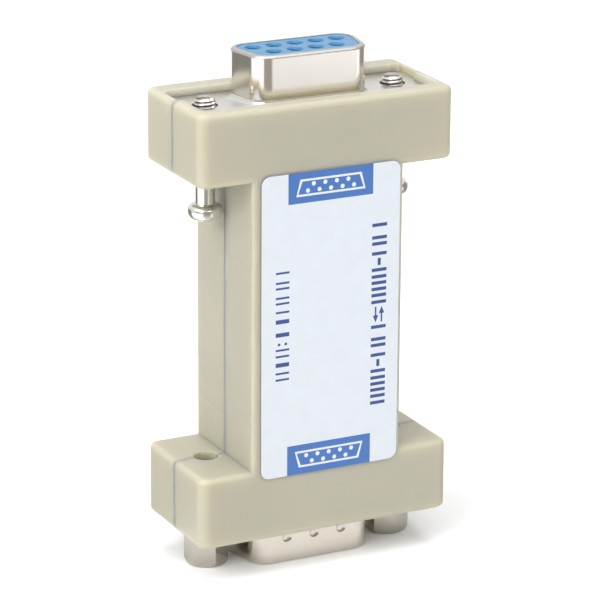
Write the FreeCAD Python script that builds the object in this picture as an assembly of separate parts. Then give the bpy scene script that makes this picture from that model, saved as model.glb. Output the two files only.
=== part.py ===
import FreeCAD, Part
import math
import os

from FreeCAD import Vector

# Serial isolator: a two-part plastic case with a nine-way socket on top and a nine-way plug below.
# Millimetres. The part stands on its plug and jack screws: x is its width, y its depth with the
# labelled face at -y, and z = 0 is the plane that it stands on.

# Nine-way connectors
socket_width = 16.33
socket_depth = 7.9
socket_height = 6.0
plug_height = 5.8
mating_gap = 0.29
plug_sheet = 0.45
sheet = 0.5
tub_side = 0.545
tub_front = 0.66
tub_height = 4.4
jack_clearance = 0.67
flange_end = 2.905
flange_side = 0.9
flange_corner = 1.2
flange_hole_radius = 1.55
shell_angle = 10.0
shell_corner = 2.4
plug_bend_radius = 0.45
socket_bend_radius = 0.75
lip_radius = 0.35
lip_width = 0.7
lip_thickness = 0.45
insulator_gap = 0.05
insulator_recess = 0.05
insulator_split = 2.0
insulator_rear = 5.4
insulator_rim = 1.1
plug_insulator_rise = 0.3
dimple_pitch = 3.7
dimple_count = 3
dimple_depth = 0.22
dimple_radius = 1.1
dimple_height = 2.5

# Contacts
contact_pitch = 2.77
row_spacing = 2.84
wide_row_count = 5
contact_radius = 0.72
contact_gap = 0.06
contact_recess = 0.8
contact_bore = 0.52
contact_bore_depth = 5.5
collar_radius = 1.0
collar_height = 0.4
pin_radius = 0.5
pin_recess = 0.6
pin_tip = 0.3
cup_length = 3.6
cup_bore = 0.5
cup_open = 2.4
cup_window = 1.9
mouth_chamfer = 0.25

# Case
rim_wall = 1.3
tray_end_gap = 0.1
tray_side_gap = 0.3
tray_rise = 1.0
mouth_side_gap = 0.61
mouth_corner = 0.6
socket_mouth_shift = 0.5
flange_play = 0.05
rear_end_relief = 0.5
pocket_end_gap = 0.4
tub_clearance = 0.2
pocket_height = 5.6
neck_wall = 1.4
waist_height = 36.0
waist_wall = 1.3
block_corner = 1.3
block_edge = 0.65
rim_edge = 0.75
waist_corner = 0.4
head_side_gap = 0.345
seam_bevel = 0.04
side_recess_depth = 0.06
side_recess_height = 5.8
side_recess_offset = 4.9

# Snap tongues and locating posts
tongue_thickness = 1.0
tongue_gap = 0.125
tongue_reach = 3.0
tongue_root = 3.0
tongue_margin = 0.4
catch_height = 0.3
catch_width = 0.9
catch_setback = 0.4
catch_gap = 0.1
post_radius = 1.6
post_pin_radius = 0.9
post_pin_reach = 1.3
post_gap = 0.1
post_margin = 2.2
seat_gap = 0.05

# Label
label_width = 18.4
label_left_margin = 1.1
label_thickness = 0.1
label_corner = 1.1
label_overlap_top = 0.7
label_overlap_bottom = 1.1

# Captive screws and their clips
screw_hang = 3.95
screw_head_radius = 2.15
screw_head_height = 1.95
screw_head_round = 0.92
screw_shank_radius = 1.2
screw_thread_radius = 1.3
screw_thread_length = 4.6
screw_tip_rise = 1.05
screw_tip_chamfer = 0.4
drive_width = 0.55
drive_length = 2.3
drive_depth = 0.8
clip_radius = 2.3
clip_thickness = 0.5
clip_gap = 0.04
clip_mouth = 1.5
groove_depth = 0.25

# Jack screws and their nuts
jack_across_flats = 4.75
jack_chamfer = 0.45
jack_bore_radius = 1.15
jack_bore_depth = 4.4
stud_radius = 1.4
stud_tip = 0.3
stud_reach = 3.6
nut_height = 2.2
nut_gap = 0.03

# Circuit board and what it carries
board_side_gap = 0.1
board_thickness = 1.2
board_end_gap = 0.3
chip_length = 10.3
chip_width = 7.5
chip_height = 2.3
chip_lead_count = 8
chip_lead_pitch = 1.27
chip_lead_width = 0.42
chip_lead_reach = 1.4
chip_stand = 0.15
opto_length = 3.8
opto_width = 4.4
opto_height = 2.1
opto_count = 3
opto_pitch = 4.7
opto_lead_count = 2
opto_lead_pitch = 2.54
core_length = 6.4
core_leg = 1.6
winding_wall = 1.2
winding_gap = 0.05
winding_headroom = 0.45
can_radius = 2.0
can_headroom = 0.7
can_base = 1.0
can_count = 2
can_pitch = 4.6
chip_part_length = 2.0
chip_part_width = 1.25
chip_part_height = 0.6
resistor_count = 5
side_capacitor_count = 2
capacitor_width = 1.25
capacitor_height = 0.9
small_part_pitch = 2.6
post_side_gap = 0.5
diode_length = 2.7
diode_width = 1.6
diode_height = 1.15
side_diode_count = 2
diode_pitch = 2.6

# Sizes and places that follow from those above
plug_width = socket_width + 2 * (mating_gap + plug_sheet)
plug_depth = socket_depth + 2 * (mating_gap + plug_sheet)
tub_width = plug_width + 2 * tub_side
tub_depth = plug_depth + 2 * tub_front
screw_spacing = tub_width + jack_across_flats + 2 * jack_clearance
flange_length = screw_spacing + 2 * flange_end
flange_depth = tub_depth + 2 * flange_side
case_depth = flange_depth + 2 * (tray_side_gap + rim_wall)
block_width = flange_length + 2 * (tray_end_gap + rim_wall)
flange_stack = 2 * sheet
mouth_depth = plug_depth + 2 * mouth_side_gap
block_height = tray_rise + flange_stack + pocket_height + neck_wall
waist_width = screw_spacing - 2 * (screw_head_radius + head_side_gap)
board_width = waist_width - 2 * (waist_wall + tongue_gap + tongue_thickness + board_side_gap)
case_bottom = plug_height - tray_rise
lower_neck = case_bottom + block_height
upper_neck = lower_neck + waist_height
case_top = upper_neck + block_height
plug_face = case_bottom + tray_rise
socket_face = case_top - tray_rise
screw_x = screw_spacing / 2
cavity_half_width = waist_width / 2 - waist_wall
cavity_half_depth = case_depth / 2 - waist_wall
pocket_half_depth = tub_depth / 2 + tub_clearance
pocket_half_width = flange_length / 2 - pocket_end_gap
board_low = plug_face + insulator_rear + board_end_gap
board_high = socket_face - insulator_rear - board_end_gap
board_face = board_thickness / 2
cup_end = insulator_rear + cup_length
post_low = plug_face + cup_end + post_margin
post_high = socket_face - cup_end - post_margin
between_posts = (post_low + post_radius, post_high - post_radius)
core_depth = cavity_half_depth - board_face - winding_gap - winding_wall - winding_headroom
can_height = cavity_half_depth - board_face - can_headroom
upper_recess_top = upper_neck - side_recess_offset
lower_recess_bottom = lower_neck + side_recess_offset
upper_tongue = (upper_recess_top - side_recess_height + tongue_margin, upper_recess_top - tongue_margin)
lower_tongue = (lower_recess_bottom + tongue_margin, lower_recess_bottom + side_recess_height - tongue_margin)
transformer_x = -board_width / 4
can_x = board_width / 4


def box(x0, x1, y0, y1, z0, z1):
    """Box between two corners."""
    return Part.makeBox(x1 - x0, y1 - y0, z1 - z0, Vector(x0, y0, z0))


def rod(x, y, z0, z1, radius):
    """Upright round bar."""
    return Part.makeCylinder(radius, z1 - z0, Vector(x, y, z0))


def rod_y(x, z, y0, y1, radius):
    """Round bar along y."""
    return Part.makeCylinder(radius, y1 - y0, Vector(x, y0, z), Vector(0, 1, 0))


def loop_edges(shape, z):
    """Edges that lie wholly in the plane z."""
    return [edge for edge in shape.Edges if abs(edge.BoundBox.ZMin - z) < 1e-6 and abs(edge.BoundBox.ZMax - z) < 1e-6]


def rounded_plate(width, depth, corner, z0, z1):
    """Upright slab with rounded vertical corners, centred on the z axis."""
    slab = box(-width / 2, width / 2, -depth / 2, depth / 2, z0, z1)
    upright = [e for e in slab.Edges if e.BoundBox.ZLength > (z1 - z0) / 2]
    return slab.makeFillet(corner, upright)


def tapered_outline(width, depth, corner):
    """Face of a D-shaped connector outline at z = 0: widest at +y, its greatest width as given."""
    slope = math.tan(math.radians(shell_angle))
    reach = (1 + math.sin(math.radians(shell_angle))) / math.cos(math.radians(shell_angle)) - 1
    wide = width / 2 + corner * reach
    narrow = wide - depth * slope
    half = depth / 2
    points = [Vector(wide, half, 0), Vector(-wide, half, 0), Vector(-narrow, -half, 0), Vector(narrow, -half, 0)]
    edges = []
    starts = []
    ends = []
    middles = []
    for index, point in enumerate(points):
        before = (points[index - 1] - point).normalize()
        after = (points[(index + 1) % 4] - point).normalize()
        half_turn = before.getAngle(after) / 2
        setback = corner / math.tan(half_turn)
        centre = point + (before + after).normalize() * (corner / math.sin(half_turn))
        starts.append(point + before * setback)
        ends.append(point + after * setback)
        middles.append(centre + (point - centre).normalize() * corner)
    for index in range(4):
        edges.append(Part.Arc(starts[index], middles[index], ends[index]).toShape())
        edges.append(Part.LineSegment(ends[index], starts[(index + 1) % 4]).toShape())
    return Part.Face(Part.Wire(edges))


def tapered_prism(width, depth, z0, z1, inset=0.0):
    """D-shaped prism, set in evenly from the outline of the given width and depth."""
    face = tapered_outline(width - 2 * inset, depth - 2 * inset, shell_corner - inset)
    face.translate(Vector(0, 0, z0))
    return face.extrude(Vector(0, 0, z1 - z0))


def contact_places():
    """Centres of the nine contacts, seen from the front of a connector: five at +y, four at -y."""
    places = []
    for count, y in ((wide_row_count, row_spacing / 2), (wide_row_count - 1, -row_spacing / 2)):
        for index in range(count):
            places.append(((index - (count - 1) / 2) * contact_pitch, y))
    return places


def to_socket(shape):
    """Move a connector piece from its own frame, with z = 0 on the flange, to the top of the case."""
    moved = shape.copy()
    moved.translate(Vector(0, 0, socket_face))
    return moved


def to_plug(shape):
    """Move a connector piece from its own frame to the underside of the case, facing down."""
    moved = shape.copy()
    moved.rotate(Vector(0, 0, 0), Vector(0, 1, 0), 180)
    moved.translate(Vector(0, 0, plug_face))
    return moved


def flange(z0, z1):
    """Connector flange with its two screw holes."""
    plate = rounded_plate(flange_length, flange_depth, flange_corner, z0, z1)
    for side in (-1, 1):
        plate = plate.cut(rod(side * screw_x, 0, z0, z1, flange_hole_radius))
    return plate


def front_shell(width, depth, height, wall, lip, bend):
    """Drawn metal shell: a flange, a bent foot, a D-shaped wall and a rounded lip of its own width."""
    outer = tapered_prism(width, depth, -sheet, height)
    shell = flange(-sheet, 0).fuse(outer).removeSplitter()
    foot = [e for e in loop_edges(shell, 0) if abs(e.BoundBox.Center.x) < width / 2 and e.BoundBox.YMax < depth]
    foot = [e for e in foot if max(abs(e.BoundBox.YMin), abs(e.BoundBox.YMax)) < depth / 2 + 0.01]
    shell = shell.makeFillet(bend, foot)
    shell = shell.makeFillet(lip_radius, loop_edges(shell, height))
    shell = shell.cut(tapered_prism(width, depth, -sheet, height - lip_thickness, wall))
    return shell.cut(tapered_prism(width, depth, -sheet, height, lip))


def socket_shell():
    return front_shell(socket_width, socket_depth, socket_height, sheet, lip_width, socket_bend_radius)


def plug_shell():
    """Plug shell, with rows of small dimples pressed in from both long sides to grip the mating shell."""
    shell = front_shell(plug_width, plug_depth, plug_height, plug_sheet, plug_sheet, plug_bend_radius)
    sphere_offset = dimple_radius - dimple_depth
    inner = tapered_prism(plug_width, plug_depth, -sheet, plug_height, plug_sheet)
    for side in (-1, 1):
        for index in range(dimple_count):
            x = (index - (dimple_count - 1) / 2) * dimple_pitch
            outside = Part.makeSphere(dimple_radius, Vector(x, side * (plug_depth / 2 + sphere_offset), dimple_height))
            inner_y = side * (plug_depth / 2 - plug_sheet + sphere_offset)
            inside = Part.makeSphere(dimple_radius, Vector(x, inner_y, dimple_height)).common(inner)
            shell = shell.fuse(inside).cut(outside)
    return shell.removeSplitter()


def rear_shell():
    """Metal tub behind the flange, with an opening in its floor for the insulator's rear."""
    tub = flange(-flange_stack, -sheet).fuse(tapered_prism(tub_width, tub_depth, -tub_height, -sheet))
    tub = tub.cut(tapered_prism(tub_width, tub_depth, -(tub_height - sheet), -sheet, sheet))
    tub = tub.cut(tapered_prism(tub_width, tub_depth, -tub_height, -sheet, sheet + insulator_rim - insulator_gap))
    return tub.removeSplitter()


def contact_holes(z0, z1, radius):
    return Part.makeCompound([rod(x, y, z0, z1, radius) for x, y in contact_places()])


def shoulder(z0, z1):
    """Insulator body that fills the rear shell."""
    return tapered_prism(tub_width, tub_depth, z0, z1, sheet + insulator_gap)


def front_insulator(width, depth, wall, nose_top, lip, front, hole_radius):
    """Front insulator: a face inside the lip, a nose inside the wall and a shoulder behind the flange."""
    nose = tapered_prism(width, depth, -sheet, nose_top, wall + insulator_gap)
    face = tapered_prism(width, depth, nose_top, front, lip + insulator_gap)
    body = face.fuse(nose).fuse(shoulder(-insulator_split, -sheet)).removeSplitter()
    body = body.cut(contact_holes(-insulator_split, front, hole_radius))
    for x, y in contact_places():
        mouth = Part.makeCone(hole_radius, hole_radius + mouth_chamfer, mouth_chamfer, Vector(x, y, front - mouth_chamfer))
        body = body.cut(mouth)
    return body


def rear_insulator():
    """Rear insulator: it closes the front one from behind and traps the collars of the contacts."""
    floor = -(tub_height - sheet)
    boss = tapered_prism(tub_width, tub_depth, -insulator_rear, floor, sheet + insulator_rim)
    body = shoulder(floor, -insulator_split).fuse(boss).removeSplitter()
    body = body.cut(contact_holes(-insulator_rear, -insulator_split, contact_radius + contact_gap))
    seat = -(insulator_split + collar_height + contact_gap)
    return body.cut(contact_holes(seat, -insulator_split, collar_radius + contact_gap))


def solder_cup(y_side):
    """Rear end of a contact on the z axis: a round tail with a hollow end, open away from the board."""
    tail = rod(0, 0, -cup_end, -(insulator_split + collar_height), contact_radius)
    tail = tail.cut(rod(0, 0, -cup_end, -cup_end + cup_open, cup_bore))
    opening = box(-contact_radius, contact_radius, 0, contact_radius, -cup_end, -cup_end + cup_window)
    if y_side < 0:
        opening.rotate(Vector(0, 0, 0), Vector(0, 0, 1), 180)
    tail = tail.cut(opening)
    collar = rod(0, 0, -(insulator_split + collar_height), -insulator_split, collar_radius)
    return tail.fuse(collar)


def socket_contact(y_side):
    """Hollow contact that takes a pin."""
    front = socket_height - contact_recess
    sleeve = rod(0, 0, -insulator_split, front, contact_radius)
    bore = rod(0, 0, front - contact_bore_depth, front, contact_bore)
    return solder_cup(y_side).fuse(sleeve).removeSplitter().cut(bore)


def plug_contact(y_side):
    """Solid pin with a rounded tip."""
    tip = plug_height - pin_recess
    pin = rod(0, 0, -insulator_split, tip, pin_radius)
    pin = pin.makeFillet(pin_tip, loop_edges(pin, tip))
    return solder_cup(y_side).fuse(pin).removeSplitter()


def contact_set(make_contact):
    """Nine contacts at their places."""
    contacts = []
    for x, y in contact_places():
        contact = make_contact(y)
        contact.translate(Vector(x, y, 0))
        contacts.append(contact)
    return Part.makeCompound(contacts)


def end_block(z0, z1, rim, neck):
    """Plain block at one end of the case: a small edge at its rim and a larger one at the neck."""
    block = rounded_plate(block_width, case_depth, block_corner, z0, z1)
    block = block.makeFillet(block_edge, loop_edges(block, neck))
    return block.makeFillet(rim_edge, loop_edges(block, rim))


def end_hollow(rim, toward, mouth_shift):
    """Mouth, slot for the flange, pocket behind it and screw holes in the neck; toward is +1 or -1 along z.

    The mouth lies mouth_shift nearer to the front than the rest.
    """
    ceiling = rim + toward * (tray_rise - flange_play)
    seat = rim + toward * (tray_rise + flange_stack)
    floor = seat + toward * pocket_height
    neck = floor + toward * neck_wall
    tray_width = flange_length + 2 * tray_end_gap
    tray_depth = flange_depth + 2 * tray_side_gap
    tray = rounded_plate(tray_width, tray_depth, flange_corner, min(ceiling, seat), max(ceiling, seat))
    mouth = rounded_plate(tray_width, mouth_depth, mouth_corner, min(rim, seat), max(rim, seat))
    pocket = box(-pocket_half_width, pocket_half_width, -pocket_half_depth, pocket_half_depth,
                 min(seat, floor), max(seat, floor))
    mouth.translate(Vector(0, -mouth_shift, 0))
    hollow = tray.fuse(mouth).fuse(pocket)
    for side in (-1, 1):
        hollow = hollow.fuse(rod(side * screw_x, 0, min(floor, neck), max(floor, neck), flange_hole_radius))
    return hollow


def whole_case():
    """Both halves of the case as one hollow body."""
    overlap = block_edge + waist_corner
    lower = end_block(case_bottom, lower_neck, case_bottom, lower_neck)
    upper = end_block(upper_neck, case_top, case_top, upper_neck)
    waist = rounded_plate(waist_width, case_depth, waist_corner, lower_neck - overlap, upper_neck + overlap)
    case = lower.fuse(upper).fuse(waist).removeSplitter()
    cavity = box(-cavity_half_width, cavity_half_width, -cavity_half_depth, cavity_half_depth,
                 lower_neck - neck_wall, upper_neck + neck_wall)
    case = case.cut(cavity).cut(end_hollow(case_bottom, 1, 0)).cut(end_hollow(case_top, -1, socket_mouth_shift))
    return case.cut(seam_groove())


def rear_reliefs():
    """Room beyond both ends of the flanges in the rear half, which leaves a step in the rims at the seam."""
    rooms = []
    inner = flange_length / 2
    outer = inner + tray_end_gap + rear_end_relief
    for low, shift in ((case_bottom, 0), (socket_face, socket_mouth_shift)):
        depth = mouth_depth / 2 - shift - mouth_corner
        for x0, x1 in ((-outer, -inner), (inner, outer)):
            rooms.append(box(x0, x1, 0, depth, low, low + tray_rise))
    return rooms


def side_recesses(front, z0, z1):
    """Shallow steps in the outer sides of one half of the waist."""
    steps = []
    near = waist_width / 2 - side_recess_depth
    y0, y1 = (-case_depth / 2, 0) if front else (0, case_depth / 2)
    steps.append(box(near, waist_width / 2, y0, y1, z0, z1))
    steps.append(box(-waist_width / 2, -near, y0, y1, z0, z1))
    return Part.makeCompound(steps)


def tongues(side_y, z0, z1):
    """Two snap tongues that reach past the seam, one inside each side wall; side_y is where they reach."""
    blades = []
    inner = cavity_half_width - tongue_gap - tongue_thickness
    outer = cavity_half_width - tongue_gap
    tip = tongue_reach
    catch = tip - catch_setback - catch_width
    for side in (-1, 1):
        blade = box(inner, outer, -tongue_root, tip, z0, z1)
        root = box(inner, cavity_half_width + tongue_gap, -tongue_root, -seat_gap, z0, z1)
        ridge = Part.makePolygon([Vector(outer, catch, z0), Vector(outer + catch_height, catch, z0),
                                  Vector(outer, tip - catch_setback, z0), Vector(outer, catch, z0)])
        ridge = Part.Face(ridge).extrude(Vector(0, 0, z1 - z0))
        blade = blade.fuse(root).fuse(ridge).removeSplitter()
        if side_y < 0:
            blade = blade.mirror(Vector(0, 0, 0), Vector(0, 1, 0))
        if side < 0:
            blade = blade.mirror(Vector(0, 0, 0), Vector(1, 0, 0))
        blades.append(blade)
    return blades


def catch_pockets(side_y, z0, z1):
    """Hollows in the side walls of the other half, which the ridges of the tongues spring into."""
    hollows = []
    tip = tongue_reach - catch_setback
    catch = tip - catch_width
    depth = catch_height - tongue_gap + catch_gap
    for side in (-1, 1):
        hollow = box(cavity_half_width, cavity_half_width + depth, catch - catch_gap, tip + catch_gap,
                     z0 - catch_gap, z1 + catch_gap)
        if side_y < 0:
            hollow = hollow.mirror(Vector(0, 0, 0), Vector(0, 1, 0))
        if side < 0:
            hollow = hollow.mirror(Vector(0, 0, 0), Vector(1, 0, 0))
        hollows.append(hollow)
    return Part.makeCompound(hollows)


def bevel_bar(x0, z0, x1, z1):
    """Square bar on edge, from one point of the plane y = 0 to another along x or z."""
    along = Vector(x1 - x0, 0, z1 - z0)
    across = Vector(0, 0, 1) if z0 == z1 else Vector(1, 0, 0)
    steps = (across, Vector(0, 1, 0), -across, Vector(0, -1, 0), across)
    corners = [Vector(x0, 0, z0) + step * seam_bevel for step in steps]
    return Part.Face(Part.makePolygon(corners)).extrude(along)


def seam_groove():
    """Fine groove along the seam of the case, on its sides and on the shoulders of its blocks."""
    bars = []
    for side in (-1, 1):
        block_x = side * block_width / 2
        waist_x = side * waist_width / 2
        bars.append(bevel_bar(block_x, case_bottom, block_x, lower_neck))
        bars.append(bevel_bar(block_x, upper_neck, block_x, case_top))
        bars.append(bevel_bar(waist_x, lower_neck, waist_x, upper_neck))
        bars.append(bevel_bar(waist_x, lower_neck, block_x, lower_neck))
        bars.append(bevel_bar(waist_x, upper_neck, block_x, upper_neck))
    return bars


def front_cover():
    """Labelled half of the case, with the locating posts and the upper snap tongues."""
    half = whole_case().common(box(-block_width, block_width, -case_depth, 0, 0, 2 * case_top))
    half = half.cut(side_recesses(True, upper_recess_top - side_recess_height, upper_recess_top))
    half = half.cut(catch_pockets(-1, *lower_tongue))
    for blade in tongues(1, *upper_tongue):
        half = half.fuse(blade)
    for z in (post_low, post_high):
        half = half.fuse(rod_y(0, z, -cavity_half_depth - seat_gap, -board_face - seat_gap, post_radius))
        half = half.fuse(rod_y(0, z, -cavity_half_depth, board_face + post_pin_reach, post_pin_radius))
    return half.removeSplitter()


def rear_cover():
    """Plain half of the case, with the sockets for the posts and the lower snap tongues."""
    half = whole_case().common(box(-block_width, block_width, 0, case_depth, 0, 2 * case_top))
    half = half.cut(side_recesses(False, lower_recess_bottom, lower_recess_bottom + side_recess_height))
    half = half.cut(catch_pockets(1, *upper_tongue)).cut(rear_reliefs())
    for blade in tongues(-1, *lower_tongue):
        half = half.fuse(blade)
    for z in (post_low, post_high):
        half = half.fuse(rod_y(0, z, board_face + seat_gap, cavity_half_depth + seat_gap, post_radius))
        socket_end = board_face + post_pin_reach + post_gap
        half = half.cut(rod_y(0, z, board_face, socket_end, post_pin_radius + post_gap))
    return half.removeSplitter()


def label():
    """Printed sheet on the front of the case, its corners rounded."""
    left = -waist_width / 2 + label_left_margin
    low = lower_neck - label_overlap_bottom
    high = upper_neck + label_overlap_top
    front = -case_depth / 2
    sheet_box = box(left, left + label_width, front - label_thickness, front, low, high)
    corners = [e for e in sheet_box.Edges if e.BoundBox.YLength > label_thickness / 2]
    return sheet_box.makeFillet(label_corner, corners)


def captive_screw(x):
    """Long screw with a round head that hangs below the upper block, a clip groove and a threaded end."""
    head_top = upper_neck - screw_hang
    tip = socket_face + screw_tip_rise
    head = rod(x, 0, head_top - screw_head_height, head_top, screw_head_radius)
    head = head.makeFillet(screw_head_round, head.Edges[:1] + head.Edges[2:])
    shank = rod(x, 0, head_top - seat_gap, tip - screw_thread_length, screw_shank_radius)
    thread = rod(x, 0, tip - screw_thread_length, tip, screw_thread_radius)
    thread = thread.makeChamfer(screw_tip_chamfer, loop_edges(thread, tip))
    screw = head.fuse(shank).fuse(thread).removeSplitter()
    low = clip_place() - clip_gap
    ring = rod(x, 0, low, low + clip_thickness + 2 * clip_gap, screw_shank_radius + clip_gap)
    ring = ring.cut(rod(x, 0, low, low + clip_thickness + 2 * clip_gap, screw_shank_radius - groove_depth))
    screw = screw.cut(ring)
    foot = head_top - screw_head_height
    for along_x in (True, False):
        half_x, half_y = (drive_length / 2, drive_width / 2) if along_x else (drive_width / 2, drive_length / 2)
        screw = screw.cut(box(x - half_x, x + half_x, -half_y, half_y, foot, foot + drive_depth))
    return screw


def clip_place():
    """Underside of a screw clip that rests on the floor of the upper pocket."""
    return upper_neck + neck_wall + seat_gap


def screw_clip(x):
    """Open spring clip in the groove of a captive screw, its mouth towards the rear."""
    low = clip_place()
    ring = rod(x, 0, low, low + clip_thickness, clip_radius)
    ring = ring.cut(rod(x, 0, low, low + clip_thickness, screw_shank_radius - groove_depth + clip_gap))
    return ring.cut(box(x - clip_mouth / 2, x + clip_mouth / 2, 0, clip_radius, low, low + clip_thickness))


def hexagon(x, across, z0, z1):
    """Upright six-sided bar with two of its flats facing along x."""
    radius = across / 2 / math.cos(math.pi / 6)
    angles = [math.radians(30 + 60 * index) for index in range(7)]
    points = [Vector(x + radius * math.cos(a), radius * math.sin(a), z0) for a in angles]
    return Part.Face(Part.makePolygon(points)).extrude(Vector(0, 0, z1 - z0))


def jack_screw(x):
    """Six-sided jack screw on the plug flange: a threaded hole below and a stud above."""
    body = hexagon(x, jack_across_flats, 0, plug_face)
    corner = jack_across_flats / 2 / math.cos(math.pi / 6)
    cone_top = corner + (plug_face - jack_chamfer)
    turned = Part.makeCone(corner - jack_chamfer, cone_top, cone_top - corner + jack_chamfer, Vector(x, 0, 0))
    body = body.common(turned)
    body = body.cut(rod(x, 0, 0, jack_bore_depth, jack_bore_radius))
    top = plug_face + flange_stack + stud_reach
    stud = rod(x, 0, plug_face - seat_gap, top, stud_radius)
    stud = stud.makeChamfer(stud_tip, loop_edges(stud, top))
    return body.fuse(stud).removeSplitter()


def jack_nuts():
    """Nuts on the studs, behind the plug flange."""
    nuts = []
    low = plug_face + flange_stack
    for side in (-1, 1):
        nut = hexagon(side * screw_x, jack_across_flats, low, low + nut_height)
        nuts.append(nut.cut(rod(side * screw_x, 0, low, low + nut_height, stud_radius + nut_gap)))
    return Part.makeCompound(nuts)


def circuit_board():
    """Board that stands between the solder cups of both connectors, with holes for the posts."""
    board = box(-board_width / 2, board_width / 2, -board_face, board_face, board_low, board_high)
    for z in (post_low, post_high):
        board = board.cut(rod_y(0, z, -board_face, board_face, post_pin_radius + post_gap))
    return board


def spread(heights):
    """Centres of rows of the given heights, with equal gaps from one post of the board to the other."""
    low, high = between_posts
    gap = (high - low - sum(heights)) / (len(heights) + 1)
    centres = []
    for height in heights:
        low += gap
        centres.append(low + height / 2)
        low += height
    return centres


def with_leads(width):
    """Height on the board of a leaded chip of the given width."""
    return width + 2 * chip_lead_reach


def front_rows():
    """Places on the front of the board: the resistors, the optical couplers and a driver chip."""
    return spread((chip_part_length, with_leads(opto_width), with_leads(chip_width)))


def rear_rows():
    """Places on the rear of the board: a driver chip, then the transformer beside the cans."""
    return spread((with_leads(chip_width), max(core_length, (can_count - 1) * can_pitch + 2 * can_radius)))


def on_side(shape, rear):
    """Turn a piece that was built on the front of the board to its rear."""
    if rear:
        return shape.mirror(Vector(0, 0, 0), Vector(0, 1, 0))
    return shape


def soldered_part(x, z, length, width, height, rear):
    """Small block soldered to one side of the board, its length along x."""
    y = -board_face
    return on_side(box(x - length / 2, x + length / 2, y - height, y, z - width / 2, z + width / 2), rear)


def leaded_chip(x, z, length, width, height, leads, pitch, rear):
    """Moulded body, raised a little, with bent leads along its upper and lower sides."""
    face = -board_face
    top = face - chip_stand - height
    body = box(x - length / 2, x + length / 2, top, face - chip_stand, z - width / 2, z + width / 2)
    knee = face - chip_stand - height / 2
    sheet_y = chip_lead_width / 2
    for index in range(leads):
        lead_x = x + (index - (leads - 1) / 2) * pitch
        left = lead_x - chip_lead_width / 2
        right = lead_x + chip_lead_width / 2
        for side in (-1, 1):
            root = z + side * width / 2
            bend = root + side * chip_lead_reach / 2
            end = root + side * chip_lead_reach
            across = sorted((root, bend))
            upright = sorted((bend - side * sheet_y, bend))
            foot = sorted((bend - side * sheet_y, end))
            body = body.fuse(box(left, right, knee - sheet_y / 2, knee + sheet_y / 2, across[0], across[1]))
            body = body.fuse(box(left, right, knee - sheet_y / 2, face, upright[0], upright[1]))
            body = body.fuse(box(left, right, face - sheet_y, face, foot[0], foot[1]))
    return on_side(body.removeSplitter(), rear)


def driver_chips():
    """Two line drivers, one on each side of the board."""
    chips = []
    for z, rear in ((front_rows()[2], False), (rear_rows()[0], True)):
        chips.append(leaded_chip(0, z, chip_length, chip_width, chip_height, chip_lead_count, chip_lead_pitch, rear))
    return Part.makeCompound(chips)


def optocouplers():
    """Row of optical couplers across the front of the board."""
    row = []
    for index in range(opto_count):
        x = (index - (opto_count - 1) / 2) * opto_pitch
        row.append(leaded_chip(x, front_rows()[1], opto_length, opto_width, opto_height, opto_lead_count,
                               opto_lead_pitch, False))
    return Part.makeCompound(row)


def transformer_core():
    """Square ferrite ring with a middle leg, flat on the rear of the board."""
    half = core_length / 2
    y0 = board_face
    y1 = board_face + core_depth
    x, z = transformer_x, rear_rows()[1]
    core = box(x - half, x + half, y0, y1, z - half, z + half)
    window = half - core_leg / 2
    for side in (-1, 1):
        inner = core_leg / 2
        outer = inner + window - core_leg / 2
        x0, x1 = sorted((x + side * inner, x + side * outer))
        core = core.cut(box(x0, x1, y0, y1, z - half + core_leg / 2, z + half - core_leg / 2))
    return core


def transformer_winding():
    """Wound coil around the middle leg of the core."""
    x, z = transformer_x, rear_rows()[1]
    inner = core_leg / 2 + winding_gap
    outer = inner + winding_wall
    reach = core_length / 2 - core_leg / 2 - winding_gap
    y0 = board_face + winding_gap
    y1 = board_face + core_depth + winding_gap
    coil = box(x - outer, x + outer, y0, y1 + winding_wall, z - reach, z + reach)
    return coil.cut(box(x - inner, x + inner, y0, y1, z - reach, z + reach))


def electrolytic_capacitors():
    """Upright cans on square feet, on the rear of the board."""
    cans = []
    for index in range(can_count):
        z = rear_rows()[1] + (index - (can_count - 1) / 2) * can_pitch
        foot = box(can_x - can_radius, can_x + can_radius, board_face, board_face + can_base,
                   z - can_radius, z + can_radius)
        can = rod_y(can_x, z, board_face + can_base, board_face + can_height, can_radius)
        cans.append(foot.fuse(can))
    return Part.makeCompound(cans)


def resistors():
    """Row of resistors across the front of the board, above the lower post."""
    row = []
    for index in range(resistor_count):
        x = (index - (resistor_count - 1) / 2) * small_part_pitch
        row.append(soldered_part(x, front_rows()[0], chip_part_width, chip_part_length, chip_part_height, False))
    return Part.makeCompound(row)


def beside_post(z, count, pitch, length, width, height):
    """Small parts on both sides of a post, on the rear of the board."""
    row = []
    for side in (-1, 1):
        for index in range(count):
            x = side * (post_radius + post_side_gap + width / 2 + index * pitch)
            row.append(soldered_part(x, z, width, length, height, True))
    return Part.makeCompound(row)


def ceramic_capacitors():
    """Capacitors beside the upper post."""
    return beside_post(post_high, side_capacitor_count, small_part_pitch, chip_part_length, capacitor_width,
                       capacitor_height)


def diodes():
    """Diodes beside the lower post."""
    return beside_post(post_low, side_diode_count, diode_pitch, diode_length, diode_width, diode_height)


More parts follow.
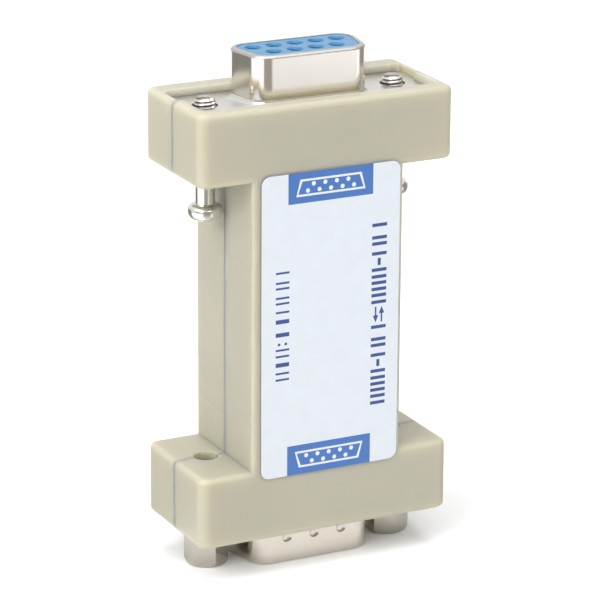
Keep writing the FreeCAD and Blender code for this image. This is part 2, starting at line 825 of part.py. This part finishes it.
pieces = {
    "front_cover": front_cover(),
    "rear_cover": rear_cover(),
    "label": label(),
    "socket_front_shell": to_socket(socket_shell()),
    "socket_rear_shell": to_socket(rear_shell()),
    "socket_front_insulator": to_socket(front_insulator(
        socket_width, socket_depth, sheet, socket_height - lip_thickness - insulator_gap, lip_width,
        socket_height - insulator_recess, contact_radius + contact_gap)),
    "socket_rear_insulator": to_socket(rear_insulator()),
    "socket_contacts": to_socket(contact_set(socket_contact)),
    "plug_front_shell": to_plug(plug_shell()),
    "plug_rear_shell": to_plug(rear_shell()),
    "plug_front_insulator": to_plug(front_insulator(
        plug_width, plug_depth, plug_sheet, 0, plug_sheet, plug_insulator_rise, pin_radius + contact_gap)),
    "plug_rear_insulator": to_plug(rear_insulator()),
    "plug_pins": to_plug(contact_set(plug_contact)),
    "left_captive_screw": captive_screw(-screw_x),
    "right_captive_screw": captive_screw(screw_x),
    "left_screw_clip": screw_clip(-screw_x),
    "right_screw_clip": screw_clip(screw_x),
    "left_jack_screw": jack_screw(-screw_x),
    "right_jack_screw": jack_screw(screw_x),
    "jack_nuts": jack_nuts(),
    "circuit_board": circuit_board(),
    "driver_chips": driver_chips(),
    "optocouplers": optocouplers(),
    "transformer_core": transformer_core(),
    "transformer_winding": transformer_winding(),
    "electrolytic_capacitors": electrolytic_capacitors(),
    "ceramic_capacitors": ceramic_capacitors(),
    "resistors": resistors(),
    "diodes": diodes(),
}

os.makedirs("parts", exist_ok=True)
for name, shape in pieces.items():
    shape.exportStep("parts/" + name + ".step")
    bounds = shape.BoundBox
    print(name, "valid" if shape.isValid() else "INVALID", len(shape.Solids), "solids", round(shape.Volume, 2), "mm3,",
          "x", round(bounds.XMin, 2), round(bounds.XMax, 2), "y", round(bounds.YMin, 2), round(bounds.YMax, 2),
          "z", round(bounds.ZMin, 2), round(bounds.ZMax, 2))
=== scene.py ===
import math

import bmesh
import bpy
from mathutils import Matrix, Vector
from mathutils.geometry import delaunay_2d_cdt


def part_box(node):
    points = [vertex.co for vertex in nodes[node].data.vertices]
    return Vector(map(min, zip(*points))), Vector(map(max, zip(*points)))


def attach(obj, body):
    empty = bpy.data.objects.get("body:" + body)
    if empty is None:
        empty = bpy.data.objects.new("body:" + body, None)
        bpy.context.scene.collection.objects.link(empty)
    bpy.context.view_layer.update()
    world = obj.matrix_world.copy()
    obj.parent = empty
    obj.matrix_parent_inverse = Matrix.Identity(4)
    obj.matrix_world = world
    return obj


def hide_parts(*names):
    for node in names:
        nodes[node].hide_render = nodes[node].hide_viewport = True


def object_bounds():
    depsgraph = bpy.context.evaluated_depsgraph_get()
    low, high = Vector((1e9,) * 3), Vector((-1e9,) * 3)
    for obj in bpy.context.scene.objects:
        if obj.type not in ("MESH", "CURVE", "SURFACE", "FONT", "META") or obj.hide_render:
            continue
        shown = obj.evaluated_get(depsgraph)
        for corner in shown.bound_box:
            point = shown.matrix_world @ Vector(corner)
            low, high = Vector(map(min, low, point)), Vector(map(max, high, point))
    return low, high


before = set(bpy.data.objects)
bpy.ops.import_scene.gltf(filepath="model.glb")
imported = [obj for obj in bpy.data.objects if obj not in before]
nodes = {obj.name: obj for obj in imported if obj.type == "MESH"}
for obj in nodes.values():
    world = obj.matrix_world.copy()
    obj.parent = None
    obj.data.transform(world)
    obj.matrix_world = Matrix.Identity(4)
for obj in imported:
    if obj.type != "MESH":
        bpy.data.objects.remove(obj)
cad_low, cad_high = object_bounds()

# Lengths below are in metres, in the frame of the CAD model, unless a name ends in _mm
MM = 0.001

# Camera, fitted to the photograph
camera_place = Vector((-173.68, -345.52, 157.92)) * MM
camera_azimuth = math.radians(-26.714)
camera_elevation = math.radians(18.043)
camera_roll = math.radians(0.355)
camera_lens_mm = 200.75
camera_sensor_mm = 36.0
camera_near = 10 * MM

# Print on the label: coloured fields at both ends, a long line of marks and a short one, all along z.
# Each line lists its marks from the top down, with the length of each in millimetres.
field_left = -5.4 * MM
field_width = 11.25 * MM
field_height = 3.75 * MM
port_width = 9.2 * MM
port_height = 2.1 * MM
port_slant = 0.55 * MM
port_stroke = 0.26 * MM
port_dot = 0.27 * MM
port_wide_row = 5
port_row_margin = 0.3  # free length at the ends of the wide row, in pitches
port_row_share = 0.38  # distance of a row from the middle, as a share of half the port's height
long_line_middle = 6.8 * MM
long_line_top = 43.0 * MM
long_line_height = 2.0 * MM
long_line_gap = 0.36 * MM
long_line_stroke = 0.42 * MM
short_line_middle = -6.1 * MM
short_line_top = 38.6 * MM
short_line_height = 1.8 * MM
short_line_gap = 0.42 * MM
short_line_stroke = 0.26 * MM
port_line = [("pair", 1.98), ("pair", 1.66), ("dash", 0.9), ("pair", 1.28), ("pair", 1.2), ("pair", 1.28)]
long_line = port_line + [("arrows", 2.0)] + port_line
short_line = [("pair", 1.5), ("pair", 1.45), ("pair", 1.35), ("bar", 1.25), ("bar", 1.2), ("dots", 0.35),
              ("pair", 1.05), ("bar", 1.05), ("pair", 1.05)]

# Shapes of the marks: dots and the stems of arrows as shares of the line's stroke, the rest of an arrow as shares
# of the line's height, and an arrow's head as a share of its length
disc_corners = 20
dot_share = 0.7
arrow_stem_share = 0.25
arrow_offset_share = 0.2
arrow_wing_share = 0.19
arrow_head_share = 0.45

# Label sheet
label_corner = 1.1 * MM
corner_steps = 8
outline_merge_mm = 1e-5

# Screw threads
screw_thread_length = 4.6 * MM
screw_pitch = 0.5 * MM
thread_depth = 0.17 * MM
thread_rows = 12
thread_columns = 72
thread_overlap = 0.3 * MM
thread_steepness = 1.35  # how fast a thread rises from its root, where 1 leaves no flat crest
thread_root_flat = 0.12  # how much of that rise goes to a flat root
jack_pitch = 0.635 * MM
jack_thread_depth = 0.16 * MM
jack_bore = 1.15 * MM
jack_thread_low = 0.1 * MM
jack_thread_high = 4.3 * MM
jack_thread_play = 0.005 * MM
thread_taper = 0.25 * MM
screw_tip_bevel = 0.4 * MM
vertex_merge = 1e-4 * MM
solid_smoothing = math.radians(35)
jack_smoothing = math.radians(60)

# Materials: noise scales count cycles in a metre, and the noise between noise_low and noise_high is what shows
noise_low = 0.3
noise_high = 0.7
drift_scale = 90.0
gloss_scale = 700.0
plastic_gloss = (0.9, 1.15)  # range of the roughness, as shares of a material's own
metal_gloss = (0.75, 1.3)
grain_scale = 2600.0
grain_strength = 0.05
grain_depth = 0.02 * MM
scatter_radius = (3.6, 3.1, 2.1)  # in millimetres, with a scale of MM
patch_scale = 260.0
patch_low = 0.45
patch_high = 0.8
line_scale = 2500.0
line_strength = 0.04
line_depth = 0.01 * MM
mottle_scale = 400.0
mottle_share = 0.12
# Depths below the socket insulator's end face between which the painted shade in its holes fades to the face colour
hollow_top = 0.04 * MM
hollow_fade = 0.01 * MM
print_scale = 500.0
print_darkening = 0.965
print_grain_scale = 1800.0
print_grain_strength = 0.03
print_grain_depth = 0.01 * MM
drawn = (1, 1, 8)
wound = (1, 1, 12)
# Colour of the painted shade in the grooves of threads
thread_groove_shade = (0.16, 0.12, 0.08)

# Duller zones of the socket's shell: its flange and bend, and its lip
satin_roughness = 0.15
satin_fade = 0.1 * MM
shell_foot = 5.6 * MM
shell_lip = 0.3 * MM

# Studio
floor_reach = 3.0
floor_grey = (0.80, 0.80, 0.80)
floor_white = (1.15, 1.15, 1.15)
world_dim = 0.42
world_white = 1.0
card_columns = 24
card_lift = 0.2 * MM
standing_card = [(22 * MM, card_lift), (120 * MM, card_lift), (120 * MM, 60 * MM)]
facing_card = [(120 * MM, 8 * MM), (120 * MM, 36 * MM)]
room_card = [(450 * MM, 85 * MM), (450 * MM, 300 * MM)]


# Meshes

def new_piece(name, mesh, body, materials):
    """Object made from a finished mesh, riding on a CAD body."""
    for material in materials:
        mesh.materials.append(material)
    piece = bpy.data.objects.new(name, mesh)
    bpy.context.scene.collection.objects.link(piece)
    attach(piece, body)
    return piece


def smooth(bm, angle=solid_smoothing):
    """Smooth shading, with edges sharper than the angle kept."""
    for face in bm.faces:
        face.smooth = True
    for edge in bm.edges:
        edge.smooth = len(edge.link_faces) == 2 and edge.calc_face_angle() < angle


def rectangle(left, right, low, high):
    return [Vector((left, low)), Vector((right, low)), Vector((right, high)), Vector((left, high))]


def disc(x, z, radius):
    turn = 2 * math.pi / disc_corners
    return [Vector((x + radius * math.cos(i * turn), z + radius * math.sin(i * turn))) for i in range(disc_corners)]


def port_mark(x, z, upside_down):
    """Outline of a nine-way port with its nine contacts, as polygons: the outer shape, the inner one and the dots."""
    sign = -1 if upside_down else 1
    half = port_height / 2

    def outline(inset):
        wide = port_width / 2 - inset
        narrow = wide - port_slant
        tall = half - inset
        return [Vector((x - narrow, z - sign * tall)), Vector((x + narrow, z - sign * tall)),
                Vector((x + wide, z + sign * tall)), Vector((x - wide, z + sign * tall))]

    pitch = (port_width - 2 * port_slant) / (port_wide_row + port_row_margin)
    dots = []
    for count, row in ((port_wide_row, 1), (port_wide_row - 1, -1)):
        for i in range(count):
            dots.append(disc(x + (i - (count - 1) / 2) * pitch, z + sign * row * half * port_row_share, port_dot))
    return outline(0), outline(port_stroke), dots


def line_marks(cells, middle, top, height, gap, stroke):
    """Marks one under another: 'pair' is two bars across the line, 'bar' one thick one, 'dash' one short bar
    along the line, 'dots' two dots and 'arrows' two arrows that point opposite ways."""
    shapes = []
    high = top
    for kind, length_mm in cells:
        low = high - length_mm * MM
        if kind == "pair":
            for a, b in ((high - stroke, high), (low, low + stroke)):
                shapes.append(rectangle(middle - height / 2, middle + height / 2, a, b))
        elif kind == "bar":
            centre = (low + high) / 2
            shapes.append(rectangle(middle - height / 2, middle + height / 2, centre - stroke, centre + stroke))
        elif kind == "dash":
            shapes.append(rectangle(middle - stroke / 2, middle + stroke / 2, low, high))
        elif kind == "dots":
            for side in (-1, 1):
                shapes.append(disc(middle + side * height / 4, (low + high) / 2, stroke * dot_share))
        elif kind == "arrows":
            for side in (-1, 1):
                x = middle + side * height * arrow_offset_share
                tail, tip = (low, high) if side > 0 else (high, low)
                neck = tip + (tail - tip) * arrow_head_share
                wing = height * arrow_wing_share
                stem = stroke * arrow_stem_share
                shapes.append([Vector((x - stem, tail)), Vector((x + stem, tail)), Vector((x + stem, neck)),
                               Vector((x + wing, neck)), Vector((x, tip)), Vector((x - wing, neck)),
                               Vector((x - stem, neck))])
        high = low - gap
    return shapes


def counter_clockwise(polygon):
    area = sum(a.x * b.y - b.x * a.y for a, b in zip(polygon, polygon[1:] + polygon[:1]))
    return polygon if area > 0 else polygon[::-1]


def label_outline(low, high):
    """Edge of the label, its corners rounded like the CAD sheet's."""
    radius = label_corner
    points = []
    for cx, cz, start in ((high.x - radius, low.z + radius, -90), (high.x - radius, high.z - radius, 0),
                          (low.x + radius, high.z - radius, 90), (low.x + radius, low.z + radius, 180)):
        for step in range(corner_steps + 1):
            angle = math.radians(start + step * 90 / corner_steps)
            points.append(Vector((cx + radius * math.cos(angle), cz + radius * math.sin(angle))))
    return points


def printed_label():
    """Thin sheet whose front face is divided into paper, field, white and ink regions, with its cut edge painted dark
    as shade.
    """
    low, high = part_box("label")
    paper, field, white, ink, cut = range(5)
    regions = [(paper, label_outline(low, high))]
    field_right = field_left + field_width
    fields = ((low.z, low.z + field_height, False), (high.z - field_height, high.z, True))
    for bottom, top, upside_down in fields:
        regions.append((field, rectangle(field_left, field_right, bottom, top)))
        outer, inner, dots = port_mark((field_left + field_right) / 2, (bottom + top) / 2, upside_down)
        regions.append((white, outer))
        regions.append((field, inner))
        regions += [(white, dot) for dot in dots]
    marks = line_marks(long_line, long_line_middle, long_line_top, long_line_height, long_line_gap, long_line_stroke)
    marks += line_marks(short_line, short_line_middle, short_line_top, short_line_height, short_line_gap,
                        short_line_stroke)
    regions += [(ink, mark) for mark in marks]

    points = []
    faces = []
    for kind, polygon in regions:
        polygon = counter_clockwise(polygon)
        faces.append(list(range(len(points), len(points) + len(polygon))))
        points += [point / MM for point in polygon]
    found, _, triangles, _, _, owners = delaunay_2d_cdt(points, [], faces, 1, outline_merge_mm)

    mesh = bpy.data.meshes.new("printed_label")
    bm = bmesh.new()
    front = [bm.verts.new((p.x * MM, low.y, p.y * MM)) for p in found]
    back = [bm.verts.new((p.x * MM, high.y, p.y * MM)) for p in found]
    for triangle, owner in zip(triangles, owners):
        face = bm.faces.new([front[i] for i in triangle])
        face.material_index = regions[max(owner)][0]
        bm.faces.new([back[i] for i in reversed(triangle)])
    for edge in [e for e in bm.edges if e.is_boundary and e.verts[0].co.y == low.y]:
        a, b = (front.index(v) for v in edge.verts)
        bm.faces.new((front[a], front[b], back[b], back[a])).material_index = cut
    bmesh.ops.recalc_face_normals(bm, faces=bm.faces[:])
    bm.to_mesh(mesh)
    bm.free()
    return mesh


def thread_sheet(bm, x, low, high, crest, root, pitch, ends, inside=False, tip=0.0):
    """Round sheet about an upright axis, its radius rising and falling along a helix between root and crest.
    ends gives how far the sheet tapers back to the root at its bottom and its top, and tip the size of the
    chamfer that its top end has."""
    rows = int(round((high - low) / pitch * thread_rows))
    # How deep in a groove each point lies, which the materials use to paint shade into the grooves
    groove = bm.verts.layers.float.new("groove")
    rings = []
    for row in range(rows + 1):
        z = low + (high - low) * row / rows
        taper = min(1.0, (z - low) / ends[0] if ends[0] else 1.0, (high - z) / ends[1] if ends[1] else 1.0)
        ring = []
        for column in range(thread_columns):
            turn = column / thread_columns
            phase = (z / pitch - turn) % 1.0
            rise = min(1.0, max(0.0, thread_steepness * (1 - abs(2 * phase - 1)) - thread_root_flat))
            radius = root + (crest - root) * rise * taper
            if tip:
                radius = min(radius, crest - max(0.0, z - (high - tip)))
            angle = turn * 2 * math.pi
            vertex = bm.verts.new((x + radius * math.cos(angle), radius * math.sin(angle), z))
            vertex[groove] = 1 - rise
            ring.append(vertex)
        rings.append(ring)
    for a, b in zip(rings, rings[1:]):
        for i in range(thread_columns):
            j = (i + 1) % thread_columns
            corners = (a[i], a[j], b[j], b[i])
            bm.faces.new(corners[::-1] if inside else corners)
    return rings


def threaded_screw(node):
    """Copy of a captive screw's solid whose plain end is taken off and made again with a cut thread."""
    low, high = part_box(node)
    x = (low.x + high.x) / 2
    start = high.z - screw_thread_length
    crest = max(math.hypot(v.co.x - x, v.co.y) for v in nodes[node].data.vertices if v.co.z > start + MM)
    bm = bmesh.new()
    bm.from_mesh(nodes[node].data)
    bmesh.ops.remove_doubles(bm, verts=bm.verts[:], dist=vertex_merge)
    bmesh.ops.bisect_plane(bm, geom=bm.verts[:] + bm.edges[:] + bm.faces[:], plane_co=(0, 0, start + thread_overlap),
                           plane_no=(0, 0, 1), clear_outer=True)
    rings = thread_sheet(bm, x, start, high.z, crest, crest - thread_depth, screw_pitch, (thread_overlap, 0.0),
                         tip=screw_tip_bevel)
    bm.faces.new(rings[-1])
    smooth(bm)
    mesh = bpy.data.meshes.new(node + "_threaded")
    bm.to_mesh(mesh)
    bm.free()
    return mesh


def jack_thread(node):
    """Female thread that lines the bore of a jack screw."""
    low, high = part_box(node)
    x = (low.x + high.x) / 2
    bottom, top = low.z + jack_thread_low, low.z + jack_thread_high
    bm = bmesh.new()
    thread_sheet(bm, x, bottom, top, jack_bore - jack_thread_depth, jack_bore - jack_thread_play, jack_pitch,
                 (thread_taper, thread_taper), inside=True)
    smooth(bm, jack_smoothing)
    mesh = bpy.data.meshes.new(node + "_thread")
    bm.to_mesh(mesh)
    bm.free()
    return mesh


# Materials

class Graph:
    """Nodes of one material or world. add() makes a node, fills its inputs by name, or by number as in _0=,
    and returns its first output."""

    def __init__(self, owner):
        self.owner = owner
        owner.use_nodes = True
        self.tree = owner.node_tree
        self.tree.nodes.clear()

    def node(self, kind, settings=None, **inputs):
        made = self.tree.nodes.new("ShaderNode" + kind)
        for key, value in (settings or {}).items():
            setattr(made, key, value)
        for key, value in inputs.items():
            socket = made.inputs[int(key[1:])] if key[0] == "_" else made.inputs[key.replace("_", " ")]
            if isinstance(value, bpy.types.NodeSocket):
                self.tree.links.new(value, socket)
            else:
                socket.default_value = value
        return made

    def add(self, kind, settings=None, **inputs):
        return self.node(kind, settings, **inputs).outputs[0]

    def place(self):
        return self.node("TexCoord").outputs["Object"]

    def height(self):
        return self.node("SeparateXYZ", _0=self.place()).outputs["Z"]

    def noise(self, scale, detail=2.0, stretch=(1, 1, 1)):
        where = self.add("Mapping", Vector=self.place(), Scale=stretch)
        return self.add("TexNoise", Vector=where, Scale=scale, Detail=detail)

    def spread(self, value, low=noise_low, high=noise_high, new_low=0.0, new_high=1.0):
        """Value taken from the range low to high to the new range, and held at its ends."""
        return self.add("MapRange", _0=value, _1=low, _2=high, _3=new_low, _4=new_high)

    def blend(self, share, first, second):
        """Colour that goes from the first to the second. The Mix node's colours are its inputs 6 and 7 and
        its output 2."""
        mix = self.node("Mix", {"data_type": "RGBA"}, _0=share)
        for index, value in ((6, first), (7, second)):
            if isinstance(value, bpy.types.NodeSocket):
                self.tree.links.new(value, mix.inputs[index])
            else:
                mix.inputs[index].default_value = (*value, 1.0)
        return mix.outputs[2]

    def bump(self, height, strength, distance):
        return self.add("Bump", Height=height, Strength=strength, Distance=distance)

    def finish(self, surface, kind="OutputMaterial"):
        output = self.node(kind)
        self.tree.links.new(surface, output.inputs["Surface"])
        return self.owner

    def principled(self, **inputs):
        return self.finish(self.add("BsdfPrincipled", **inputs))


def material_graph(name):
    return Graph(bpy.data.materials.new(name))


def moulded_plastic(name, colour, tint, roughness, scatter=0.0):
    """Moulded plastic: slow drifts of colour, faint fine grain and a gloss that varies a little."""
    g = material_graph(name)
    drift = g.spread(g.noise(drift_scale, 3.0))
    gloss = g.spread(g.noise(gloss_scale), new_low=roughness * plastic_gloss[0],
                     new_high=roughness * plastic_gloss[1])
    normal = g.bump(g.noise(grain_scale), grain_strength, grain_depth)
    return g.principled(Base_Color=g.blend(drift, colour, tint), Roughness=gloss, Normal=normal,
                        Subsurface_Weight=scatter, Subsurface_Radius=scatter_radius, Subsurface_Scale=MM)


def plated_metal(name, colour, stain, roughness, stain_share=0.35, stretch=(1, 1, 1), groove_shade_colour=None,
                 satin=None):
    """Plated metal: a little dulling in soft patches, fine drawn lines and slight waviness, and painted shade in
    thread grooves. satin gives the heights below and above which it is duller, each with the colour that it has
    there."""
    g = material_graph(name)
    patches = g.spread(g.noise(patch_scale, 4.0), patch_low, patch_high, new_high=stain_share)
    lines = g.noise(line_scale, stretch=stretch)
    gloss = g.spread(lines, new_low=roughness * metal_gloss[0], new_high=roughness * metal_gloss[1])
    normal = g.bump(lines, line_strength, line_depth)
    surface = g.blend(patches, colour, stain)
    if satin:
        height = g.height()
        for (level, satin_colour), shares in zip(satin, ((1.0, 0.0), (0.0, 1.0))):
            share = g.spread(height, level - satin_fade, level + satin_fade, *shares)
            surface = g.blend(share, surface, satin_colour)
            extra = g.spread(share, 0.0, 1.0, 0.0, satin_roughness)
            gloss = g.add("Math", {"operation": "ADD"}, _0=gloss, _1=extra)
    # Painted shade: darker towards the bottom of each thread groove
    if groove_shade_colour:
        groove = g.node("Attribute", {"attribute_name": "groove"}).outputs["Fac"]
        surface = g.blend(groove, surface, groove_shade_colour)
    return g.principled(Base_Color=surface, Metallic=1.0, Roughness=gloss, Normal=normal)


def insulating_plastic(name, face_colour, hole_shade_colour, roughness, face_height):
    """Smooth moulding whose end face at face_height is lighter than the mouths of its holes below it, which are
    painted darker as shade.
    """
    g = material_graph(name)
    on_face = g.spread(g.height(), face_height - hollow_top, face_height - hollow_fade)
    mottle = g.spread(g.noise(mottle_scale, 3.0), new_high=mottle_share)
    colour = g.blend(mottle, g.blend(on_face, hole_shade_colour, face_colour), hole_shade_colour)
    normal = g.bump(g.noise(grain_scale), grain_strength, grain_depth)
    return g.principled(Base_Color=colour, Roughness=roughness, Normal=normal)


def printed_sheet(name, colour, roughness=0.42):
    """Printed film: very slight mottling and a soft sheen."""
    g = material_graph(name)
    mottle = g.spread(g.noise(print_scale, 3.0))
    darker = tuple(c * print_darkening for c in colour)
    normal = g.bump(g.noise(print_grain_scale), print_grain_strength, print_grain_depth)
    return g.principled(Base_Color=g.blend(mottle, colour, darker), Roughness=roughness, Normal=normal)


case_plastic = moulded_plastic("case_plastic", (0.525, 0.495, 0.392), (0.492, 0.472, 0.378), 0.36, 1.0)
socket_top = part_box("socket_front_shell")[1].z
shell_metal = plated_metal("shell_metal", (0.82, 0.79, 0.75), (0.74, 0.70, 0.645), 0.17, 0.25, drawn,
                           satin=((socket_top - shell_foot, (0.66, 0.665, 0.675)),
                                  (socket_top - shell_lip, (0.50, 0.50, 0.49))))
# Plug shell plating, its colour darkened as painted shade for the shadowed floor close to the object that it reflects
plug_metal_painted_shade = plated_metal("plug_metal_painted_shade", (0.60, 0.56, 0.50), (0.50, 0.45, 0.39), 0.2, 0.25, drawn)
screw_metal = plated_metal("screw_metal", (0.80, 0.785, 0.76), (0.68, 0.65, 0.60), 0.2, 0.2,
                           groove_shade_colour=thread_groove_shade)
# Jack screw plating, its colour darkened as painted shade for the shadowed floor under and beside the case that it
# reflects
jack_metal_painted_shade = plated_metal("jack_metal_painted_shade", (0.46, 0.435, 0.385), (0.39, 0.36, 0.31), 0.2, 0.15,
                          groove_shade_colour=thread_groove_shade)
contact_metal = plated_metal("contact_metal", (0.90, 0.72, 0.38), (0.72, 0.56, 0.30), 0.2)
spring_metal = plated_metal("spring_metal", (0.55, 0.55, 0.56), (0.40, 0.40, 0.42), 0.3)
# Blue insulator of the socket, with painted shade in its holes
socket_plastic = insulating_plastic("socket_plastic", (0.105, 0.28, 0.475), (0.030, 0.185, 0.41), 0.42,
                                    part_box("socket_front_insulator")[1].z)
insulator_plastic = moulded_plastic("insulator_plastic", (0.08, 0.24, 0.46), (0.095, 0.26, 0.48), 0.4)
board_resin = moulded_plastic("board_resin", (0.02, 0.17, 0.07), (0.03, 0.21, 0.09), 0.35)
chip_resin = moulded_plastic("chip_resin", (0.02, 0.02, 0.022), (0.035, 0.035, 0.035), 0.5)
ferrite = moulded_plastic("ferrite", (0.05, 0.048, 0.05), (0.09, 0.085, 0.085), 0.6)
copper_wire = plated_metal("copper_wire", (0.72, 0.33, 0.16), (0.5, 0.2, 0.1), 0.3, stretch=wound)
can_metal = plated_metal("can_metal", (0.72, 0.72, 0.74), (0.6, 0.6, 0.62), 0.3)
ceramic = moulded_plastic("ceramic", (0.42, 0.30, 0.20), (0.52, 0.40, 0.28), 0.45)
diode_resin = moulded_plastic("diode_resin", (0.04, 0.04, 0.045), (0.06, 0.06, 0.06), 0.45)
label_paper = printed_sheet("label_paper", (0.75, 0.795, 0.85))
label_field = printed_sheet("label_field", (0.060, 0.176, 0.495))
label_white = printed_sheet("label_white", (0.80, 0.83, 0.875))
label_ink = printed_sheet("label_ink", (0.03, 0.075, 0.28))
# Painted shade: the label's cut edge, dark like the shadow in the gap along it
label_edge_shade = printed_sheet("label_edge_shade", (0.22, 0.21, 0.18))

node_materials = {
    "front_cover": case_plastic, "rear_cover": case_plastic, "label": label_paper,
    "socket_front_shell": shell_metal, "socket_rear_shell": shell_metal,
    "plug_front_shell": plug_metal_painted_shade, "plug_rear_shell": plug_metal_painted_shade,
    "socket_front_insulator": socket_plastic, "socket_rear_insulator": insulator_plastic,
    "plug_front_insulator": insulator_plastic, "plug_rear_insulator": insulator_plastic,
    "socket_contacts": contact_metal, "plug_pins": contact_metal,
    "left_captive_screw": screw_metal, "right_captive_screw": screw_metal,
    "left_screw_clip": spring_metal, "right_screw_clip": spring_metal,
    "left_jack_screw": jack_metal_painted_shade, "right_jack_screw": jack_metal_painted_shade, "jack_nuts": jack_metal_painted_shade,
    "circuit_board": board_resin, "driver_chips": chip_resin, "optocouplers": chip_resin,
    "transformer_core": ferrite, "transformer_winding": copper_wire, "electrolytic_capacitors": can_metal,
    "ceramic_capacitors": ceramic, "resistors": chip_resin, "diodes": diode_resin,
}
for name, material in node_materials.items():
    nodes[name].data.materials.clear()
    nodes[name].data.materials.append(material)

label_piece = new_piece("printed_label", printed_label(), "housing",
                        [label_paper, label_field, label_white, label_ink, label_edge_shade])
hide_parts("label")
for side in ("left", "right"):
    screw_piece = new_piece(side + "_threaded_screw", threaded_screw(side + "_captive_screw"),
                            side + "_screw", [screw_metal])
    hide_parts(side + "_captive_screw")
    new_piece(side + "_jack_thread", jack_thread(side + "_jack_screw"), "housing", [jack_metal_painted_shade])


# Studio

def seen_directly(g):
    """1 for camera, glossy and transmission rays, 0 for the rest."""
    path = g.node("LightPath")
    total = g.add("Math", {"operation": "ADD"}, _0=path.outputs["Is Camera Ray"], _1=path.outputs["Is Glossy Ray"])
    return g.add("Math", {"operation": "ADD", "use_clamp": True}, _0=total, _1=path.outputs["Is Transmission Ray"])


def stage_piece(name, points, faces, material):
    """Object that stands round the real one and is no part of it."""
    mesh = bpy.data.meshes.new(name)
    mesh.from_pydata(points, [], faces)
    mesh.materials.append(material)
    piece = bpy.data.objects.new(name, mesh)
    bpy.context.scene.collection.objects.link(piece)
    return piece


def make_floor():
    """Pale floor that looks white in the picture and in reflections, and keeps the object's shadow."""
    g = material_graph("floor")
    colour = g.blend(seen_directly(g), floor_grey, floor_white)
    points = [(x * floor_reach, y * floor_reach, 0) for x, y in ((-1, -1), (1, -1), (1, 1), (-1, 1))]
    stage_piece("floor", points, [(0, 1, 2, 3)], g.finish(g.add("BsdfDiffuse", Color=colour)))


def make_world():
    """White surroundings that light the object less than they look."""
    world = bpy.data.worlds.new("studio")
    bpy.context.scene.world = world
    g = Graph(world)
    strength = g.spread(seen_directly(g), 0.0, 1.0, world_dim, world_white)
    g.finish(g.add("Background", Color=(1.0, 1.0, 1.0, 1.0), Strength=strength), "OutputWorld")


def shade_card(name, azimuth, width, profile, grey):
    """Grey card round the object that only reflections show: width is the angle that it spans about its azimuth,
    which is counted as for the lamps, and profile is its section, a list of distances and heights."""
    points = []
    for column in range(card_columns + 1):
        a = math.radians(azimuth + width * (column / card_columns - 0.5))
        points += [(distance * math.sin(a), -distance * math.cos(a), height) for distance, height in profile]
    rows = len(profile)
    faces = []
    for column in range(card_columns):
        for row in range(rows - 1):
            corner = column * rows + row
            faces.append((corner, corner + rows, corner + rows + 1, corner + 1))
    g = material_graph(name)
    card = stage_piece(name, points, faces, g.finish(g.add("BsdfDiffuse", Color=(*grey, 1.0))))
    for ray in ("camera", "diffuse", "transmission", "volume_scatter", "shadow"):
        setattr(card, "visible_" + ray, False)


def softbox(name, azimuth, elevation, distance, width, height, power):
    """Area lamp aimed at the middle of the object. Azimuth 0 stands in front of the label and 90 to its right."""
    lamp = bpy.data.lights.new(name, "AREA")
    lamp.shape = "RECTANGLE"
    lamp.size = width
    lamp.size_y = height
    lamp.energy = power
    a, e = math.radians(azimuth), math.radians(elevation)
    out = Vector((math.sin(a) * math.cos(e), -math.cos(a) * math.cos(e), math.sin(e)))
    stand = bpy.data.objects.new(name, lamp)
    stand.location = (cad_low + cad_high) / 2 + out * distance
    stand.rotation_mode = "QUATERNION"
    stand.rotation_quaternion = out.to_track_quat("Z", "Y")
    bpy.context.scene.collection.objects.link(stand)


make_floor()
make_world()
shade_card("camera_card", -18, 48, standing_card, (0.52, 0.48, 0.43))
shade_card("right_card", 86, 44, standing_card, (0.30, 0.27, 0.24))
shade_card("left_rear_card", -136, 42, standing_card, (0.29, 0.28, 0.25))
shade_card("front_card", 27, 40, facing_card, (1.06, 1.04, 1.02))
shade_card("front_room_card", 10, 200, room_card, (0.30, 0.28, 0.25))
shade_card("rear_room_card", -170, 160, room_card, (0.85, 0.83, 0.78))
softbox("left_softbox", -68, 35, 0.9, 0.7, 0.7, 6.3)
softbox("front_softbox", 20, 35, 1.0, 0.8, 0.6, 1.85)
softbox("top_softbox", 0, 88, 0.9, 0.8, 0.8, 4.0)

camera = bpy.data.objects.new("camera", bpy.data.cameras.new("camera"))
camera.data.lens = camera_lens_mm
camera.data.sensor_width = camera_sensor_mm
camera.data.clip_start = camera_near
camera.matrix_world = (Matrix.Translation(camera_place) @ Matrix.Rotation(camera_azimuth, 4, "Z")
                       @ Matrix.Rotation(math.pi / 2 - camera_elevation, 4, "X")
                       @ Matrix.Rotation(camera_roll, 4, "Z"))
bpy.context.scene.collection.objects.link(camera)
bpy.context.scene.camera = camera
bpy.context.scene.view_settings.view_transform = "Standard"

bpy.context.view_layer.update()
